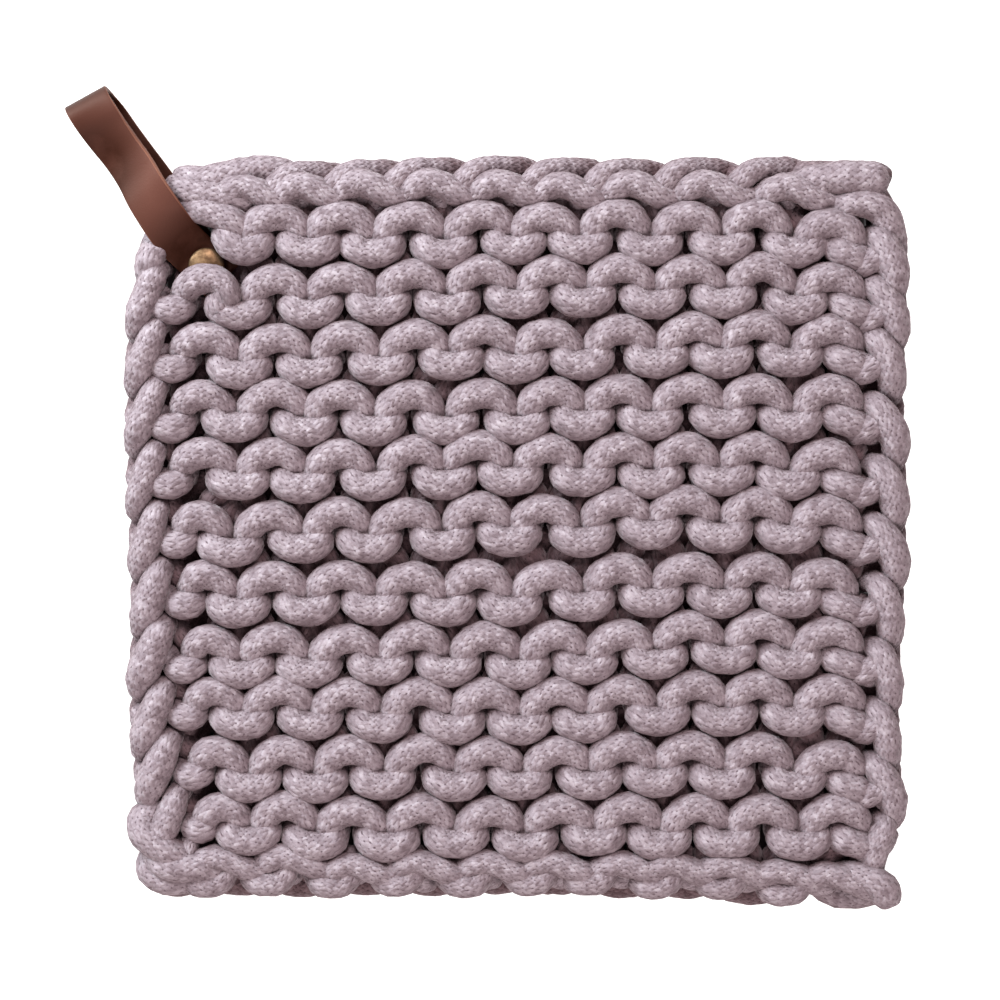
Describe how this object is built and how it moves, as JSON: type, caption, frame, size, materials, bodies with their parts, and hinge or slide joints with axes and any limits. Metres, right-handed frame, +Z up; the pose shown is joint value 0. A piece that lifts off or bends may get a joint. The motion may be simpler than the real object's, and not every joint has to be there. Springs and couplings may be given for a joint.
{
  "type": "pot holder",
  "caption": "Thick square pot holder of cotton cord knitted in garter stitch, with a narrow riveted leather loop at one corner to hang it by",
  "frame": {"origin": "under the middle of the whole part's box, on the surface it lies on", "axes": "+Z up out of the face that shows, +Y towards the bind-off edge, the loop at the corner towards -X and +Y"},
  "size_m": [0.2202, 0.2152, 0.0166],
  "materials": {
    "mauve_cotton_cord": "heathered matt braided cotton",
    "brown_leather": "smooth waxed red brown, paler cut edges",
    "antique_brass": "darkened satin brass"
  },
  "bodies": {
    "root": {"knit_square": "mauve_cotton_cord", "leather_loop": "brown_leather", "rivet": "antique_brass"}
  },
  "joints": []
}
